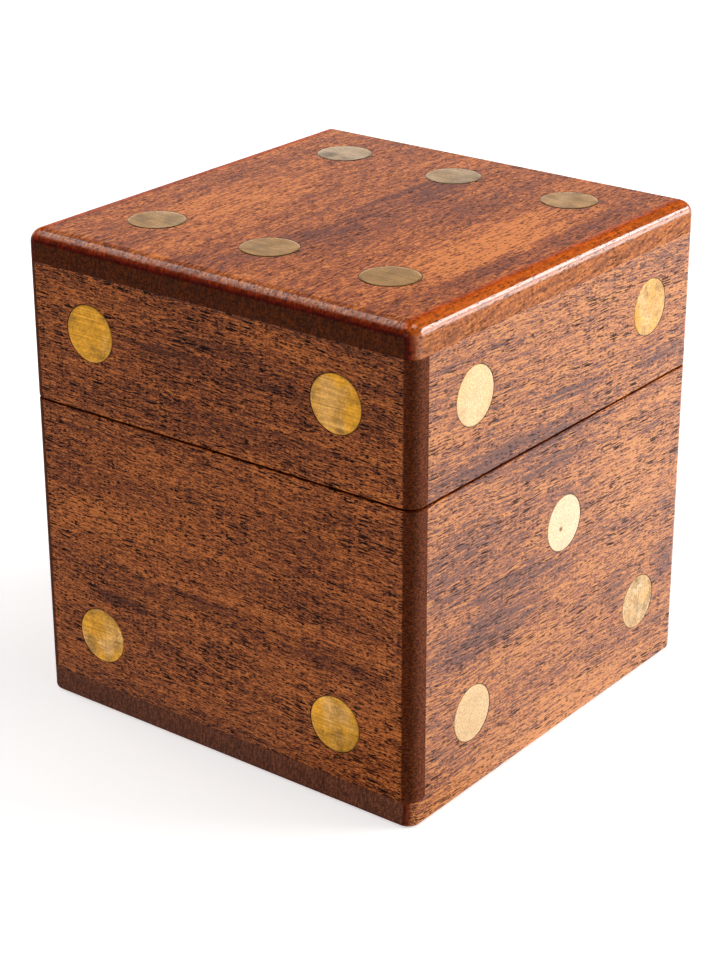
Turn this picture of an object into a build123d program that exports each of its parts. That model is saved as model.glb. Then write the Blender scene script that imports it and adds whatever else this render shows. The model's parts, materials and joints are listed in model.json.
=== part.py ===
from build123d import *
import math
import os

os.makedirs("parts", exist_ok=True)

# A wooden box shaped like a die, cut across into a base and a lid that are joined by two butt
# hinges at the back. X is the width, Y the depth with the front at -Y, and Z is up from the
# underside. The origin is the middle of the underside. Sizes are in millimetres.

# --- Closed box -----------------------------------------------------------------------------
box_width = 100.0
box_depth = 101.6
box_height = 107.0
lid_height = 37.2            # from the split to the top of the box
edge_rounding = 3.0          # top edges and the four upright edges
foot_rounding = 1.1          # edges round the underside
rim_gap = 0.4                # the saw cut that shows as a dark line round the closed box
rim_easing = 0.2             # chamfer sanded on the outer edge of each rim

# --- Boards ---------------------------------------------------------------------------------
front_thickness = 4.5
back_thickness = 6.0
side_thickness = 6.0
top_thickness = 6.8
bottom_thickness = 5.8

# --- Brass pips, let into blind sockets and sanded flush -------------------------------------
pip_radius = 6.25
pip_thickness = 2.5
pip_glue_line = 0.05         # round each pip in its socket
front_pip_inset = 18.0       # from the upright edges to the outer pips of the front and the back
side_pip_inset = 18.8        # the same on the left and the right
lid_pip_drop = 19.4          # from the top of the box to the lid's row of wall pips
base_pip_rise = 18.0         # from the underside to the base's row of wall pips
centre_pip_drop = 4.1        # the centre pips stand this far below mid-height, clear of the split
top_pip_side_inset = 19.7    # from the left and right edges to the outer columns of the six
top_pip_end_inset = 19.1     # from the front and back edges to the rows of the six
# The patterns were marked out by hand, so each sits a little off the middle of its face.
top_drift_x = -1.5
top_drift_y = 1.6
lid_front_drift = -0.6
base_front_drift = -1.3
lid_side_drift = 0.9
base_side_drift = 1.8
centre_side_drift = 2.2

# --- Felt on the floor of the base ------------------------------------------------------------
felt_thickness = 1.5
felt_clearance = 0.4         # between the felt and each wall

# --- Butt hinges, flush with the back ----------------------------------------------------------
hinge_inset = 15.0           # from each side of the box to the near end of a leaf
leaf_length = 20.0
leaf_thickness = 0.9
mortise_clearance = 0.1      # at the ends of a leaf in its mortise
barrel_radius = 1.25
barrel_clearance = 0.15      # between a barrel and the wood or the other leaf
middle_knuckle_length = 7.6
knuckle_gap = 0.2            # along the pin, between knuckles
pin_radius = 0.6
pin_running_clearance = 0.05
opening_angle = 105.0        # where the bevelled back edges stop the lid
stop_clearance = 1.0         # degrees still open between the bevels at that angle

# --- Countersunk wood screws in the leaves ------------------------------------------------------
screw_spacing = 13.0         # between the two screws of a leaf
screw_length = 5.5
screw_shank_radius = 0.6
screw_head_radius = 1.05
screw_head_height = 0.5
screw_clearance = 0.03       # round the shank, in the leaf and in the wood
screw_slot_width = 0.3
screw_slot_depth = 0.2

# --- Worked out from the above -------------------------------------------------------------------
split_height = box_height - lid_height
base_rim = split_height - rim_gap / 2
lid_rim = split_height + rim_gap / 2
left, right = -box_width / 2, box_width / 2
front, back = -box_depth / 2, box_depth / 2
inner_left, inner_right = left + side_thickness, right - side_thickness
inner_front, inner_back = front + front_thickness, back - back_thickness
frame_top = box_height - top_thickness
hinge_axis_y = back - barrel_radius
bevel_angle = (opening_angle + stop_clearance) / 2
notch_y = hinge_axis_y - barrel_radius - barrel_clearance
screw_y = (inner_back + notch_y) / 2
hinge_middle = right - hinge_inset - leaf_length / 2
hinge_places = {"left": -hinge_middle, "right": hinge_middle}


def block(x, y, z):
    """A cuboid between two X, two Y and two Z values, each given lowest first."""
    corner = Pos((x[0] + x[1]) / 2, (y[0] + y[1]) / 2, (z[0] + z[1]) / 2)
    return corner * Box(x[1] - x[0], y[1] - y[0], z[1] - z[0])


def hinge_rod(radius, middle, length):
    """A round bar on the hinge axis, about a middle on X."""
    return Pos(middle, hinge_axis_y, split_height) * Rot(0, 90, 0) * Cylinder(radius, length)


def closed_form():
    """The outside of the closed box, with its roundings."""
    form = block((left, right), (front, back), (0, box_height))
    underside = form.edges().group_by(Axis.Z)[0]
    form = fillet([edge for edge in form.edges() if edge not in underside], edge_rounding)
    return fillet(form.edges().group_by(Axis.Z)[0], foot_rounding)


def bevel_wedge(side):
    """What is cut away behind the hinge axis so that the lid can swing. Here and below, side is 1
    for the base and -1 for the lid."""
    run = 3 * back_thickness
    fall = run * math.tan(math.radians(bevel_angle))
    outline = Polyline(
        (hinge_axis_y, split_height),
        (hinge_axis_y + run, split_height - side * fall),
        (hinge_axis_y + run, split_height + side * run),
        (hinge_axis_y, split_height + side * run),
        close=True,
    )
    return extrude(Plane.YZ * make_face(outline), box_width, both=True)


def half_form(side):
    """The outside of the base or of the lid, with its eased rim and its bevelled back edge."""
    rim = base_rim if side == 1 else lid_rim
    span = (-1, base_rim) if side == 1 else (lid_rim, box_height + 1)
    form = closed_form() & block((left - 1, right + 1), (front - 1, back + 1), span)
    rim_edges = [edge for edge in form.edges() if abs(edge.center().Z - rim) < rim_gap / 4]
    form = chamfer(rim_edges, rim_easing)
    return form - bevel_wedge(side)


def hinge_cut(side):
    """Mortises for the leaves and grooves for the barrels, in the base's or the lid's back board."""
    rim = base_rim if side == 1 else lid_rim
    depth = sorted((rim - side * leaf_thickness, rim + side * barrel_radius))
    half = leaf_length / 2 + mortise_clearance
    cut = Part()
    for middle in hinge_places.values():
        cut += block((middle - half, middle + half), (inner_back - 1, hinge_axis_y), depth)
        cut += hinge_rod(barrel_radius + barrel_clearance, middle, 2 * half)
    return cut


def upright(side):
    """As it stands for the base, turned over for the lid."""
    return Rot(0, 0, 0) if side == 1 else Rot(180, 0, 0)


def screw_form(side, play):
    """A screw's head and shank, or with some play its hole: the head's face is at Z 0, and the
    shank runs down in the base and up in the lid."""
    length = screw_length + play
    head = Pos(0, 0, -screw_head_height / 2) * Cone(
        screw_shank_radius, screw_head_radius, screw_head_height
    )
    shank = Pos(0, 0, -length / 2) * Cylinder(screw_shank_radius + play, length)
    return upright(side) * (head + shank)


def screw(side):
    """A countersunk wood screw with a slot across its head."""
    slot = Box(2 * screw_head_radius + 1, screw_slot_width, 2 * screw_slot_depth)
    return screw_form(side, 0) - upright(side) * slot


def screw_places(side):
    """Where the screws of both hinges stand, in the base's leaves or in the lid's."""
    rim = base_rim if side == 1 else lid_rim
    return [
        Pos(middle + step * screw_spacing / 2, screw_y, rim)
        for middle in hinge_places.values()
        for step in (-1, 1)
    ]


def leaf(side, middle):
    """A hinge leaf: the base's has the two outer knuckles, the lid's has the middle one."""
    rim = base_rim if side == 1 else lid_rim
    plate_z = sorted((rim, rim - side * leaf_thickness))
    outer_length = (leaf_length - middle_knuckle_length) / 2 - knuckle_gap
    outer_offset = (leaf_length - outer_length) / 2
    if side == 1:
        knuckles = [(-outer_offset, outer_length), (outer_offset, outer_length)]
        bore_radius = pin_radius
    else:
        knuckles = [(0, middle_knuckle_length)]
        bore_radius = pin_radius + pin_running_clearance
    ends = (middle - leaf_length / 2, middle + leaf_length / 2)
    body = block(ends, (inner_back, notch_y), plate_z)
    for offset, length in knuckles:
        at = middle + offset
        body += block((at - length / 2, at + length / 2), (notch_y, hinge_axis_y), plate_z)
        body += hinge_rod(barrel_radius, at, length)
    body -= hinge_rod(bore_radius, middle, leaf_length + 2)
    for place in screw_places(side):
        body -= place * screw_form(side, screw_clearance)
    return body


def pip(face, across, up, radius):
    """A disc let into a face, its outer end flush; across and up are measured on that face."""
    sink = pip_thickness / 2
    places = {
        "top": Pos(across, up, box_height - sink),
        "bottom": Pos(across, up, sink),
        "front": Pos(across, front + sink, up) * Rot(90, 0, 0),
        "back": Pos(across, back - sink, up) * Rot(90, 0, 0),
        "left": Pos(left + sink, across, up) * Rot(0, 90, 0),
        "right": Pos(right - sink, across, up) * Rot(0, 90, 0),
    }
    return places[face] * Cylinder(radius, pip_thickness)


def pip_layout():
    """Every pip: its name, the board that holds it, its face and its two coordinates on that face."""
    lid_row = box_height - lid_pip_drop
    base_row = base_pip_rise
    centre_row = (lid_row + base_row) / 2 - centre_pip_drop
    wide = right - front_pip_inset
    deep = back - side_pip_inset
    pips = [
        ("front_pip_high_left", "lid_front_wall", "front", lid_front_drift - wide, lid_row),
        ("front_pip_high_right", "lid_front_wall", "front", lid_front_drift + wide, lid_row),
        ("front_pip_low_left", "base_front_wall", "front", base_front_drift - wide, base_row),
        ("front_pip_low_right", "base_front_wall", "front", base_front_drift + wide, base_row),
        ("right_pip_high_front", "lid_right_wall", "right", lid_side_drift - deep, lid_row),
        ("right_pip_high_back", "lid_right_wall", "right", lid_side_drift + deep, lid_row),
        ("right_pip_centre", "base_right_wall", "right", centre_side_drift, centre_row),
        ("right_pip_low_front", "base_right_wall", "right", base_side_drift - deep, base_row),
        ("right_pip_low_back", "base_right_wall", "right", base_side_drift + deep, base_row),
        ("left_pip_high", "lid_left_wall", "left", lid_side_drift - deep, lid_row),
        ("left_pip_low", "base_left_wall", "left", base_side_drift + deep, base_row),
        ("back_pip_high", "lid_back_wall", "back", lid_front_drift - wide, lid_row),
        ("back_pip_centre", "base_back_wall", "back", base_front_drift, centre_row),
        ("back_pip_low", "base_back_wall", "back", base_front_drift + wide, base_row),
        ("bottom_pip", "bottom_board", "bottom", 0, 0),
    ]
    column_x = right - top_pip_side_inset
    row_y = back - top_pip_end_inset
    columns = {"left": -column_x, "middle": 0, "right": column_x}
    rows = {"front": -row_y, "back": row_y}
    for row, y in rows.items():
        for column, x in columns.items():
            name = f"top_pip_{row}_{column}"
            pips.append((name, "top_board", "top", x + top_drift_x, y + top_drift_y))
    return pips


def boards():
    """The ten boards before their sockets: the front boards cover the ends of the side boards,
    the back boards stand between the sides, and top and bottom cover the frame of four."""
    raw = {
        "bottom_board": (1, (left, right), (front, back), (0, bottom_thickness)),
        "top_board": (-1, (left, right), (front, back), (frame_top, box_height)),
    }
    for half, side, z in (("base", 1, (bottom_thickness, base_rim)), ("lid", -1, (lid_rim, frame_top))):
        raw[f"{half}_front_wall"] = (side, (left, right), (front, inner_front), z)
        raw[f"{half}_left_wall"] = (side, (left, inner_left), (inner_front, back), z)
        raw[f"{half}_right_wall"] = (side, (inner_right, right), (inner_front, back), z)
        raw[f"{half}_back_wall"] = (side, (inner_left, inner_right), (inner_back, back), z)
    forms = {1: half_form(1), -1: half_form(-1)}
    return {name: forms[side] & block(x, y, z) for name, (side, x, y, z) in raw.items()}


def finished_parts():
    """Every piece of the box by its node name."""
    made = boards()
    for name, board, face, across, up in pip_layout():
        made[name] = pip(face, across, up, pip_radius)
        made[board] -= pip(face, across, up, pip_radius + pip_glue_line)

    for half, side in (("base", 1), ("lid", -1)):
        places = screw_places(side)
        made[f"{half}_back_wall"] -= hinge_cut(side)
        for place in places:
            made[f"{half}_back_wall"] -= place * screw_form(side, screw_clearance)
        made[f"{half}_hinge_screws"] = Compound([place * screw(side) for place in places])
        for which, middle in hinge_places.items():
            made[f"{half}_hinge_leaf_{which}"] = leaf(side, middle)
    for which, middle in hinge_places.items():
        made[f"hinge_pin_{which}"] = hinge_rod(pin_radius, middle, leaf_length)

    made["floor_felt"] = block(
        (inner_left + felt_clearance, inner_right - felt_clearance),
        (inner_front + felt_clearance, inner_back - felt_clearance),
        (bottom_thickness, bottom_thickness + felt_thickness),
    )
    return made


for node, shape in finished_parts().items():
    export_step(shape, f"parts/{node}.step")
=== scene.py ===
"""Looks of a dice-shaped wooden box: boards, brass pips, butt hinges, screws, felt and stage."""

import json
import math
from functools import partial

import bmesh
import bpy
from bpy.props import FloatProperty, FloatVectorProperty, IntProperty, PointerProperty
from mathutils import Matrix, Vector, noise

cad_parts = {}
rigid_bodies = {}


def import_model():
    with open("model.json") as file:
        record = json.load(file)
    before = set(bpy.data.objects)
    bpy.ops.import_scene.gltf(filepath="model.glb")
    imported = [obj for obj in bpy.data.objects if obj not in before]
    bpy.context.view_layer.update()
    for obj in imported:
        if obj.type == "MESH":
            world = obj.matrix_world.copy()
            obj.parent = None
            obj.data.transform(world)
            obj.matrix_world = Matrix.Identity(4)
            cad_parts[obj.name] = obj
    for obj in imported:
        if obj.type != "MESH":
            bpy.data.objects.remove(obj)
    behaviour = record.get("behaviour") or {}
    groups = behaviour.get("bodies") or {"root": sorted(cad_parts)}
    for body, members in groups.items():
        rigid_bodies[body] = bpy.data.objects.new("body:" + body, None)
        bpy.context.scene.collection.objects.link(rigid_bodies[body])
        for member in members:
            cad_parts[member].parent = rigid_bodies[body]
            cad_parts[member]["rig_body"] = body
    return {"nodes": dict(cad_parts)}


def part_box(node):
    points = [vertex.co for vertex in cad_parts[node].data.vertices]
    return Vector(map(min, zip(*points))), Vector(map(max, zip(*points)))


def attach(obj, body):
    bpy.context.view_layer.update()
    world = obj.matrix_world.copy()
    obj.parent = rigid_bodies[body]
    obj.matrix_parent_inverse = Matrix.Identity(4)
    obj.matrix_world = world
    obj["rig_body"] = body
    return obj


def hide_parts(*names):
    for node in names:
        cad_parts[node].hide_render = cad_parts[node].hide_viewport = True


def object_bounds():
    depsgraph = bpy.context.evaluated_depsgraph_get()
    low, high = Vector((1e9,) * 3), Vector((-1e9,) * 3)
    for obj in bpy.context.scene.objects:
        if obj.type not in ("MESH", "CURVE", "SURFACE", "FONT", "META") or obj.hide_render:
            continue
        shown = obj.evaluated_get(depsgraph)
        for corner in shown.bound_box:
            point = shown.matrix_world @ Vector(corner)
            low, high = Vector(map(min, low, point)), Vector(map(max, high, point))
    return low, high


bl_info = {
    "name": "Dice Box",
    "version": (1, 0, 0),
    "blender": (4, 5, 0),
    "location": "View3D > Sidebar > Dice Box",
    "description": "Boards, pips, hinges, screws and felt of a dice-shaped box with a hinged lid",
    "category": "Object",
}

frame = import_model()
CAD_LOW, CAD_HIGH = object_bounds()
BODIES = ("base", "lid")
MM = 0.001
PER_MM = 1000.0  # Object coordinates are metres, and patterns are written in millimetres
X_AXIS, Y_AXIS, Z_AXIS = Vector((1, 0, 0)), Vector((0, 1, 0)), Vector((0, 0, 1))
MATH, VECTOR_MATH, RANGE = "ShaderNodeMath", "ShaderNodeVectorMath", "ShaderNodeMapRange"
EASED = {"interpolation_type": "SMOOTHSTEP"}  # a range that starts and stops softly
WHITE = (1.0, 1.0, 1.0, 1.0)


def linear(colour):
    """The scene-linear colour, with alpha, of an sRGB hex colour."""
    parts = [int(colour[i : i + 2], 16) / 255 for i in (1, 3, 5)]
    parts = [p / 12.92 if p <= 0.04045 else ((p + 0.055) / 1.055) ** 2.4 for p in parts]
    return (*parts, 1.0)


def add(tree, kind, *values, inputs=None, stops=(), **settings):
    """Adds a node with its settings.

    The values fill the inputs in use, in order, and the rest are given by name. A node among them
    links its first output in use. The stops are the places and colours of a colour ramp.
    """
    node = tree.nodes.new(kind)
    for setting, value in settings.items():
        setattr(node, setting, value)
    used = [socket for socket in node.inputs if socket.enabled]
    named = [(node.inputs[name], value) for name, value in (inputs or {}).items()]
    for socket, value in (*zip(used, values), *named):
        if isinstance(value, bpy.types.Node):
            value = next(output for output in value.outputs if output.enabled)
        if isinstance(value, bpy.types.NodeSocket):
            tree.links.new(value, socket)
        else:
            socket.default_value = value
    if stops:
        elements = node.color_ramp.elements
        while len(elements) < len(stops):
            elements.new(0.5)
        for element, (place, colour) in zip(elements, stops):
            element.position, element.color = place, colour
    return node


def new_material(name):
    """An empty node material, and the function that adds a node to it."""
    material = bpy.data.materials.new(name)
    material.use_nodes = True
    material.node_tree.nodes.clear()
    return material, partial(add, material.node_tree)


# --- What a user may change ---------------------------------------------------------------------


def paint(name, description, colour):
    """A colour that a user may change."""
    return FloatVectorProperty(
        name=name, description=description, subtype="COLOR", size=4, min=0, max=1,
        default=linear(colour),
    )


def measure(name, description, default, low, high):
    """A length that a user may change, given in millimetres."""
    return FloatProperty(
        name=name, description=description, default=default * MM, min=low * MM, max=high * MM,
        unit="LENGTH", precision=5,
    )


class DiceBoxWood(bpy.types.PropertyGroup):
    """Oiled and lacquered hardwood of the boards"""

    front_light: paint("Front light", "Palest fibre of front, back and left", "#ea883f")
    front_body: paint("Front body", "Most of the front, back and left", "#b65e27")
    front_deep: paint("Front dark", "Dark figure of front, back and left", "#652f16")
    # The right and bottom are paler and pinker than the front: partly the wood's own colour, partly
    # a painted sheen of the lit right face.
    side_light: paint("Side light", "Palest fibre of the right and bottom", "#f39d52")
    side_body: paint("Side body", "Most of the right and bottom", "#c7703a")
    side_deep: paint("Side dark", "Dark figure of the right and bottom", "#7c4535")
    # The top is paler than the orange of its rounded edges: partly the wood's own colour, partly a
    # painted milky reflection of the lacquer.
    flat_light: paint("Top light", "Palest fibre of the top", "#f19150")
    flat_body: paint("Top body", "Most of the top", "#bc673d")
    flat_deep: paint("Top dark", "Dark figure of the top", "#81493b")
    pore: paint("Pores", "Open vessels", "#1f0d0a")
    # Real pores are too fine to show, so these are drawn as coarse as they need to be.
    pore_length: measure("Pore length", "Length of a cut vessel along the grain", 1.6, 0.2, 20)
    pore_width: measure("Pore width", "Width of a cut vessel and the wood by it", 0.42, 0.05, 5)
    arris: measure("Arris", "Easing of the sharp edges of each board", 0.06, 0.02, 1)


class DiceBoxBrass(bpy.types.PropertyGroup):
    """Brass of the pips, hinges and screws"""

    clean: paint("Clean brass", "Colour of rubbed brass", "#e7cba6")
    amber: paint("Amber brass", "Colour of brass under aged lacquer", "#e3a035")
    stain: paint("Tarnish", "Colour of tarnished patches", "#7d5a2c")
    rim: measure("Rim", "Easing round the edge of a pip", 0.2, 0.01, 1)
    segments: IntProperty(
        name="Segments", description="Segments round a pip", default=72, min=12, max=256,
    )


class DiceBoxFelt(bpy.types.PropertyGroup):
    """Felt lining on the floor of the base"""

    colour: paint("Felt", "Colour of the felt", "#7c1f22")
    spacing: measure("Mesh spacing", "Distance between points of the felt", 1.2, 0.5, 10)


class DiceBoxStage(bpy.types.PropertyGroup):
    """Camera, lamps and floor"""

    lens: FloatProperty(
        name="Focal length", description="Focal length in millimetres for a 36 mm long side",
        default=88.73, min=10, max=400,
    )
    floor: paint("Floor", "Colour of the floor", "#e9e8e6")
    ambient: FloatProperty(
        name="Ambient", description="Strength of the light from all round",
        default=0.1, min=0, max=2,
    )


GROUPS = {
    "dice_box_wood": DiceBoxWood,
    "dice_box_brass": DiceBoxBrass,
    "dice_box_felt": DiceBoxFelt,
    "dice_box_stage": DiceBoxStage,
}


# --- Wood ---------------------------------------------------------------------------------------

# What each side of the box is made with, in millimetres and in parts of the whole:
# plank    which of the three sets of colours it has
# across   the two axes that its face lies in
# grain    the direction of its grain
# dip      how far the grain dips into the face, which shortens pores to dots
# streak, thin, streaky    length, width and strength of its streaks
# fibre, bundle, crisp     length, width and strength of its bundles of fibres
# stipple  length, width and strength of its finest grains
# pore, slim   how long and how wide its pores are beside the usual
# long, short  the greatest radius, in cells, and the darkness of its long and short pores
# gloss    how much of the lacquer's gloss its flat face keeps
# dulls    the slopes towards the end grain between which the gloss falls, and what it falls to
# turns    the slopes between which the face's colour turns to that of end grain
# stroke   length and depth of the strokes in its end grain, and how they shade it
# ends     colours of its end grain, by slope
# painted_edge_glow   painted light: orange painted by slope along its long rounded edges
# tone     how much paler or darker the whole side is
# figure   bands: middle on the face, half the length along the grain, half the width, and how much
#          paler (above 0) or darker (below 0)

# What the front and back share.
FINE = {
    "plank": "front", "across": "XZ",
    "dip": 1.2, "streak": 5.0, "thin": 0.28, "streaky": 1.3,
    "fibre": 1.8, "bundle": 0.22, "crisp": 0.65, "stipple": (0.4, 0.22, 0.65),
    "pore": 1.2, "slim": 0.96, "long": (0.55, 1.0), "short": (0.52, 1.0),
    "gloss": 0.3, "dulls": (0.03, 0.15, 0.1), "turns": (0.03, 0.2), "stroke": (0.8, 0.5, 0.7, 1.3),
    "ends": ((0.2, "#5f2b12"), (0.65, "#632f18"), (0.8, "#69371f"), (1.0, "#76402a")),
}
# What the right, left and bottom share, where they don't say otherwise.
COARSE = {
    "plank": "side", "across": "YZ",
    "dip": 1.0, "streak": 6.0, "thin": 0.3, "streaky": 2.2,
    "fibre": 2.2, "bundle": 0.27, "crisp": 0.6, "stipple": (0.5, 0.26, 0.6),
    "pore": 1.6, "slim": 1.0, "long": (0.49, 0.95), "short": (0.48, 0.8),
    "gloss": 0.8, "dulls": (0.55, 0.97, 0.13), "turns": (0.2, 0.8), "stroke": (0.8, 0.5, 0.7, 1.3),
    "ends": ((0.5, "#95451d"), (1.0, "#7c4229")),
}
SIDES = {
    "front": {
        **FINE,
        "grain": (1.0, 0.0, -0.03),
        "tone": 0.0,
        "figure": (
            (0, 88, 70, 17, -0.3), (-12.5, 88.2, 14, 5, -0.2), (37.5, 84.5, 12, 4, -0.2),
            (-27.5, 73.2, 20, 3, -0.15), (-42, 57, 8, 7, -0.2), (25, 47, 26, 10, -0.2),
            (-2.5, 35, 16, 1.6, -0.5), (-27.5, 28.2, 14, 2, -0.6), (30, 33, 14, 5, -0.3),
            (-35, 37, 12, 1.6, -0.3), (2.5, 24.5, 16, 2, -0.3), (-17, 20.7, 10, 1.6, -0.3),
            (37, 12, 14, 2.6, -0.3), (-39, 65.7, 12, 2, -0.3), (20, 57, 14, 7, -0.15),
            (-35, 47, 16, 5, 0.2), (-19, 62, 22, 5, 0.2), (15, 67, 16, 2.6, 0.25),
            (-9, 11, 22, 4, 0.2), (-19, 97, 28, 3, 0.2), (22, 95.5, 24, 4.5, 0.45),
        ),
    },
    "right": {
        **COARSE,
        "grain": (0.0, 1.0, -0.06),
        "tone": 0.0,
        "figure": (
            (4.8, 81, 17, 1.6, -1.0), (39.2, 78.5, 13, 2.2, -0.7), (-13.3, 73.5, 42, 4.2, -0.8),
            (37, 71, 14, 2, -0.3), (-3.9, 67.3, 18, 2.6, -0.7), (-35.8, 54.5, 26, 10, -0.4),
            (-17, 45.1, 18, 2.6, -0.8), (-28, 37.6, 30, 7, -0.7), (24.2, 27, 6, 12, -0.35),
            (44.8, 27, 5, 9, -0.5), (-34.5, 98.5, 24, 2.2, -0.5), (3, 58, 10, 4, -0.35),
            (-0.8, 42, 14, 4, -0.3), (24.2, 59.5, 26, 8, 0.4), (19.2, 37, 24, 6, 0.25),
            (32, 48, 20, 12, 0.35), (5.5, 9, 50, 8, 0.7), (5.5, 88, 28, 5, 0.3),
            (-13, 27, 24, 5, 0.3),
        ),
    },
    "top": {
        "plank": "flat", "across": "XY",
        "grain": (0.0, 1.0, 0.11),
        "dip": 0.8, "streak": 6.0, "thin": 0.55, "streaky": 1.3,
        "fibre": 2.0, "bundle": 0.55, "crisp": 0.35, "stipple": (0.6, 0.45, 0.5),
        "pore": 1.4, "slim": 1.6, "long": (0.42, 0.7), "short": (0.46, 0.65),
        "gloss": 0.24, "dulls": (0.55, 0.97, 0.13), "turns": (0.55, 0.83),
        "stroke": (3, 1.5, 0.7, 1.3),
        "ends": ((0.8, "#863012"), (0.92, "#601408"), (0.962, "#4a0e06"), (0.988, "#58270e")),
        "tone": -0.05,
        "figure": (
            (12.5, 37, 20, 8, -0.6), (8.8, 26, 26, 1.3, -0.7), (15, 3, 36, 6, -0.65),
            (10, -19, 24, 6, -0.45), (-35, -3, 26, 4, -0.25), (-42, 19.5, 14, 4, -0.2),
            (-16, -43.6, 5, 3, -0.6), (2.5, -37, 14, 4, -0.35), (30, 26, 18, 3, -0.25),
            (-16, 2, 32, 12, 0.5), (32, -4, 30, 6, 0.25), (43, 10, 36, 11, 1.0),
            (-45, -5, 34, 4, 0.35), (-19, 34, 12, 8, 0.2), (0, -48.4, 2.8, 90, -0.9),
            # This band, pale along the right edge, is painted light: the orange of the rounded edge
            # carried onto the flat.
            (49, 15, 55, 4, 0.7),
        ),
        "painted_edge_glow": (
            (0.0, "#d9520a"), (0.3, "#f27020"), (0.75, "#d86a26"), (0.9, "#dc7430"),
            (1.0, "#f09a58"),
        ),
    },
    "left": {
        **COARSE, "plank": "front",
        "grain": (0.0, 1.0, 0.05),
        "gloss": 0.35,
        "tone": -0.05,
        "figure": (
            (-12, 84, 36, 3.4, -0.6), (20, 60, 30, 8, -0.4), (-20, 40, 26, 3, -0.7),
            (14, 22, 30, 6, -0.5), (-8, 96, 30, 3, 0.3), (-24, 56, 24, 6, 0.35), (8, 8, 44, 5, 0.3),
        ),
    },
    "back": {
        **FINE,
        "grain": (1.0, 0.0, 0.04),
        "tone": 0.03,
        "figure": (
            (10, 88, 30, 4, -0.5), (-18, 58, 26, 9, -0.35), (16, 38, 30, 2.6, -0.8),
            (-10, 18, 30, 6, -0.45), (20, 60, 22, 5, 0.3), (-20, 80, 24, 4, 0.3),
            (14, 8, 30, 4, 0.25),
        ),
    },
    "bottom": {
        **COARSE, "across": "XY",
        "grain": (0.0, 1.0, -0.05),
        "turns": (0.55, 0.83), "stroke": (3, 1.5, 0.7, 1.3),
        "ends": ((0.8, "#863819"), (0.94, "#612716"), (0.988, "#7b4935")),
        "tone": 0.0,
        "figure": (
            (50, 0, 60, 6, 0.7), (-20, 6, 44, 7, -0.5), (18, -10, 40, 5, -0.6),
            (34, 20, 30, 6, 0.3), (0, 10, 36, 8, 0.4),
        ),
    },
}

WANDER_ACROSS = 1.0  # how far the grain wanders across a face, mm
WANDER_LENGTH = 16.0  # length of one turn of that wandering, mm
THROUGH = 300.0  # a band of figure runs right through its board, mm
LEAST_PORE = 0.1  # radius of the smallest pore, in cells
PORE_EDGE = 0.1  # softness of a pore's edge, in cells
SPLIT_Z = 69.8 * MM  # height of the split between base and lid
SHADED_RIM_REACH = 0.6 * MM  # the rims painted dark with shade lie this near the split
SAWN_REACH = 1.8 * MM  # the bevels of the back rims lie this near the split
PAINTED_GLOW_START, PAINTED_GLOW_FULL = 44.5 * MM, 47.3 * MM  # from the middle of the top, where its painted orange edge starts and where it is full
RELIEF = 0.05 * MM  # depth of the wood's bumps


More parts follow.
